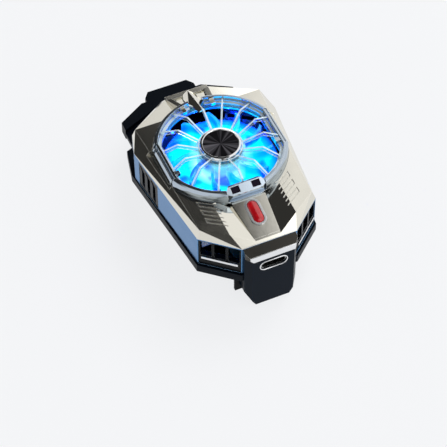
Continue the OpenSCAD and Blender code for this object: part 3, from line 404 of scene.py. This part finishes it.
def glow(tree, hub, middle, rim):
    """Colour of the light by radius: hub, middle and rim tones, broken by deep blue patches."""
    ramp = add(tree, "ValToRGB")
    share = add(tree, "MapRange", {"Value": radius(tree), "From Min": FAN_HUB, "From Max": FAN_RIM})
    tree.links.new(share.outputs[0], ramp.inputs[0])
    ramp.color_ramp.elements[0].color = linear(hub)
    ramp.color_ramp.elements[1].color = linear(rim)
    ramp.color_ramp.elements.new(0.25).color = linear(middle)
    ramp.color_ramp.elements.new(0.70).color = linear(middle)
    patch = add(tree, "MapRange", {"Value": grain(tree, PATCH_MM, 1.0), "From Min": 0.50, "From Max": 0.66,
                                   "To Max": 0.85})
    return add(tree, "Mix", {"Factor": patch.outputs[0], "A": ramp.outputs["Color"], "B": linear(DEEP_BLUE)},
               data_type="RGBA").outputs["Result"]


material, tree, shader = new_material("blue_polycarbonate")
tone = glow(tree, "#A8F6FF", "#08D2FA", "#0A3CE0")
tree.links.new(tone, shader.inputs["Base Color"])
# Painted glow: the blades give off light, though they are no lamp.
tree.links.new(tone, shader.inputs["Emission Color"])
# The painted glow is strongest low on the blades and weakest at their tops.
rise = add(tree, "SeparateXYZ", {0: add(tree, "TexCoord").outputs["Object"]}).outputs["Z"]
painted_glow_fade = add(tree, "MapRange", {"Value": rise, "From Min": BLADE_LOW, "From Max": BLADE_HIGH,
                              "To Min": 0.85, "To Max": 0.18})
tree.links.new(painted_glow_fade.outputs[0], shader.inputs["Emission Strength"])
shader.inputs["Transmission Weight"].default_value = 0.5
shader.inputs["Roughness"].default_value = 0.15
shader.inputs["IOR"].default_value = 1.58
dress(material, "fan")

# Light guide: a frosted ring over the lamps, which spreads their cyan light under the whole fan.
# It is brightest toward the hub and falls off to a dark blue at the rim.
# Five small blue lamps behind the fan stand for the light that spills into the rear of the opening.
RESIN_MM = 2
material, tree, shader = new_material("frosted_light_guide")
tone = glow(tree, CYAN, CYAN, "#0A28C8")
tree.links.new(tone, shader.inputs["Emission Color"])
shader.inputs["Emission Strength"].default_value = 0.9
shader.inputs["Base Color"].default_value = linear("#0A80C0")
shader.inputs["Roughness"].default_value = 0.4
dress(material, "light_diffuser")
material, tree, shader = new_material("led_resin")
cloud = add(tree, "MapRange", {"Value": grain(tree, RESIN_MM), "To Min": 0.8, "To Max": 1.4})
tree.links.new(cloud.outputs[0], shader.inputs["Emission Strength"])
shader.inputs["Emission Color"].default_value = linear(CYAN)
shader.inputs["Base Color"].default_value = linear("#C8F4FF")
dress(material, "leds")
GLOW_COUNT = 5
GLOW_REACH = 19.8
GLOW_HEIGHT = 15.4
GLOW_WATTS = 0.003
GLOW_SIZE = 0.5
GLOW_FIRST = np.pi / 6
GLOW_SPREAD = np.pi * 2 / 3
for i in range(GLOW_COUNT):
    angle = GLOW_FIRST + GLOW_SPREAD * i / (GLOW_COUNT - 1)
    glow_data = bpy.data.lights.new("glow", "POINT")
    glow_data.energy = GLOW_WATTS
    glow_data.color = linear(DEEP_BLUE)[:3]
    glow_data.shadow_soft_size = GLOW_SIZE * MM
    glow_lamp = bpy.data.objects.new("glow", glow_data)
    glow_lamp.location = Vector((GLOW_REACH * np.cos(angle), GLOW_REACH * np.sin(angle), GLOW_HEIGHT)) * MM
    bpy.context.scene.collection.objects.link(glow_lamp)

# Button: a glossy red capsule that presses into the sloped panel, moulded through and clear lacquered.
# It is a straight skirt under a crown that swells toward its rear end, so light runs off it to the front.
BUTTON_LONG = 8.4
BUTTON_WIDE = 3.4
BUTTON_PLACE = Vector((0, -27.6, 18.21))
BUTTON_PROUD = 0.9
BUTTON_SKIRT = 1.9
BUTTON_SHOULDER = 0.2
BUTTON_FRONT = 0.62
BUTTON_SIDES = 64
CROWN_STEPS = 14
CROWN_END = np.pi / 2 * 0.97
LACQUER_MM = 3

material, tree, shader = new_material("gloss_red_abs")
cloud = add(tree, "MapRange", {"Value": grain(tree, LACQUER_MM), "From Min": 0.3, "From Max": 0.7})
colour = add(tree, "Mix", {"Factor": cloud.outputs[0], "A": linear("#8E0510"), "B": linear("#C40E1A")},
             data_type="RGBA")
tree.links.new(colour.outputs["Result"], shader.inputs["Base Color"])
shader.inputs["Roughness"].default_value = 0.16
shader.inputs["Coat Weight"].default_value = 0.8
shader.inputs["IOR"].default_value = 1.53


def capsule(long, wide, count):
    """Outline of a slot with round ends, anticlockwise: half circles, shifted along by half the rest."""
    turn = np.linspace(0, 2 * np.pi, count, endpoint=False) + np.pi / count
    shift = np.where(np.sin(turn) > 0, 1, -1) * (long - wide) / 2
    return np.stack([wide / 2 * np.cos(turn), wide / 2 * np.sin(turn) + shift], 1)


press = next(joint for joint in frame["joints"] if joint["name"] == "button_press")
up = -np.array(press["axis"])
back = np.cross(up, (1, 0, 0))
turn = np.linspace(0, CROWN_END, CROWN_STEPS)
inset = np.concatenate([[0, 0], BUTTON_WIDE / 2 * (1 - np.cos(turn))])
height = np.concatenate([[-BUTTON_SKIRT, -BUTTON_SHOULDER / 2],
                         BUTTON_SHOULDER + (BUTTON_PROUD - BUTTON_SHOULDER) * np.sin(turn)])
flat = np.stack([capsule(BUTTON_LONG - 2 * d, BUTTON_WIDE - 2 * d, BUTTON_SIDES) for d in inset])
swell = BUTTON_FRONT + (1 - BUTTON_FRONT) * np.clip(flat[..., 1:] / BUTTON_LONG + 0.5, 0, 1)
lift = np.where(height[:, None, None] > 0, height[:, None, None] * swell, height[:, None, None])
rings = (np.array(BUTTON_PLACE) + flat[..., :1] * np.array((1, 0, 0)) + flat[..., 1:] * back + lift * up) * MM
button = new_piece("domed_button", *closed_strip(rings))
shade_smooth(button, 1.0)
button.data.materials.append(material)
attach(button, "button")
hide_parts("power_button")

# Socket rim: a thin chromed wire pressed round the slot in the front jaw.
# It is a round section carried along the slot's outline, half sunk in the jaw's face.
RIM_WIRE = 0.20
RIM_LONG = 9.6
RIM_WIDE = 3.9
RIM_STEPS = 96
RIM_SIDES = 12
socket = next(mount for mount in frame["record"]["mounts"] if mount["name"] == "usb_c_socket")
jaw_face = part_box("front_jaw")[0][1]
outline = capsule(RIM_LONG, RIM_WIDE, RIM_STEPS) * MM
path = np.stack([outline[:, 1], np.full(len(outline), jaw_face), outline[:, 0] + socket["pos_m"][2]], 1)
ahead = np.roll(path, -1, 0) - np.roll(path, 1, 0)
ahead /= np.linalg.norm(ahead, axis=1, keepdims=True)
side = np.cross(ahead, (0, 1, 0))
wire = np.linspace(0, 2 * np.pi, RIM_SIDES, endpoint=False)[None, :, None]
rings = path[:, None] + RIM_WIRE * MM * (np.cos(wire) * side[:, None] + np.sin(wire) * np.array((0, 1, 0)))
rings = np.concatenate([rings, rings[:1]])
corners, faces = closed_strip(rings)
rim = new_piece("socket_rim", corners, faces[:-2])
mesh = bmesh.new()
mesh.from_mesh(rim.data)
bmesh.ops.remove_doubles(mesh, verts=mesh.verts, dist=0.001 * MM)
bmesh.ops.recalc_face_normals(mesh, faces=mesh.faces)
mesh.to_mesh(rim.data)
mesh.free()
shade_smooth(rim, 1.0)
rim.data.materials.append(chrome)
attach(rim, "housing")

# Inner metals: the cold plate, the finned sink, the screws, the socket's shell and the motor's parts.
# They are milled, extruded, rolled or sintered, and each keeps the fine streaks of how it was made.


def bare_metal(name, pale, dark, rough, streak):
    """Metal with fine streaks: two close tones over lumps drawn out along Y."""
    material, tree, shader = new_material(name)
    place = add(tree, "TexCoord").outputs["Object"]
    drawn = add(tree, "Mapping", {"Vector": place, "Scale": (1, 0.08, 1)})
    lines = add(tree, "TexNoise", {"Vector": drawn.outputs[0], "Scale": 1 / (streak * MM), "Detail": 3.0})
    colour = add(tree, "Mix", {"Factor": lines.outputs["Fac"], "A": linear(pale), "B": linear(dark)},
                 data_type="RGBA")
    tree.links.new(colour.outputs["Result"], shader.inputs["Base Color"])
    shader.inputs["Metallic"].default_value = 1.0
    shader.inputs["Roughness"].default_value = rough
    return material


dress(bare_metal("milled_aluminium", "#D6D8DA", "#A9ACB0", 0.30, 0.4), "cold_plate", "heat_sink")
nickel = bare_metal("nickel_plated_steel", "#D2D2D0", "#A8A8A6", 0.22, 0.5)
dress(nickel, "sink_screws", "base_screws", "jaw_screws", "usb_shell", "fan_shaft")
dress(bare_metal("sintered_bronze", "#B58A4A", "#7A5A2C", 0.45, 0.3), "bearing")
dress(bare_metal("enamelled_copper", "#C8693A", "#8A3F1E", 0.30, 0.25), "stator")
dress(bare_metal("bonded_ferrite", "#4A4A4E", "#2E2E32", 0.60, 0.3), "fan_magnet")

# Clamp springs: two coils of hard-drawn wire, hooked from the tray's posts to the sliding legs.
# Each is a round wire along a helix whose radius closes at both ends.
CURLS = 12
CURL_STEPS = 24
WIRE_SIDES = 10
WIRE_MM = 0.16
TAIL_MM = 0.15


def coil_spring(name, axis_x, low, high):
    """Wire carried along a helix about Y: the radius grows from nothing over the first curl and closes
    over the last, so that both ends lie on the axis. Each ring lies square to the path's direction."""
    outer = (high[2] - low[2]) / 2 - WIRE_MM * MM
    t = np.linspace(0, 1, CURLS * CURL_STEPS + 1)
    turn = 2 * np.pi * CURLS * t
    close = np.clip(np.minimum(t, 1 - t) * CURLS, 0, 1)
    reach = outer * np.sin(close * np.pi / 2)
    along = low[1] - TAIL_MM * MM + (high[1] - low[1] + 2 * TAIL_MM * MM) * t
    path = np.stack([axis_x + reach * np.cos(turn), along, (low[2] + high[2]) / 2 + reach * np.sin(turn)], 1)
    ahead = np.gradient(path, axis=0)
    ahead /= np.linalg.norm(ahead, axis=1, keepdims=True)
    out = np.stack([np.cos(turn), np.zeros_like(turn), np.sin(turn)], 1)
    out -= ahead * np.sum(out * ahead, axis=1, keepdims=True)
    out /= np.linalg.norm(out, axis=1, keepdims=True)
    side = np.cross(ahead, out)
    round_wire = np.linspace(0, 2 * np.pi, WIRE_SIDES, endpoint=False)[None, :, None]
    section = np.cos(round_wire) * out[:, None] + np.sin(round_wire) * side[:, None]
    rings = path[:, None] + WIRE_MM * MM * section
    piece = new_piece(name, *closed_strip(rings))
    shade_smooth(piece)
    piece.data.materials.append(nickel)
    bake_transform(piece)
    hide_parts("clamp_springs")


spring_low, spring_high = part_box("clamp_springs")
spring_x = spring_high[0] - (spring_high[2] - spring_low[2]) / 2
coil_spring("right_clamp_spring", spring_x, spring_low, spring_high)
coil_spring("left_clamp_spring", -spring_x, spring_low, spring_high)

# Boards and ceramics: the boards behind the socket and the button, the lamp board, and the cooling tile.
# Solder mask is a thin gloss over glass weave, and fired alumina is a dry off-white.


def sheet_finish(name, pale, dark, rough, lump):
    """A mottled board or tile: two close tones over small lumps."""
    material, tree, shader = new_material(name)
    colour = add(tree, "Mix", {"Factor": grain(tree, lump), "A": linear(pale), "B": linear(dark)},
                 data_type="RGBA")
    tree.links.new(colour.outputs["Result"], shader.inputs["Base Color"])
    shader.inputs["Roughness"].default_value = rough
    return material


dress(sheet_finish("green_solder_mask", "#0B1F16", "#06120C", 0.35, 0.8), "control_board", "switch_board")
dress(sheet_finish("white_solder_mask", "#F0F1F0", "#D8DAD8", 0.35, 0.8), "led_board")
dress(sheet_finish("fired_alumina", "#EDEAE0", "#D4D0C2", 0.60, 0.5), "thermoelectric_module")
dress(sheet_finish("black_contact_resin", "#1A1A1E", "#0E0E10", 0.45, 0.5), "usb_tongue")

scene = bpy.context.scene
scene.view_settings.view_transform = "Standard"
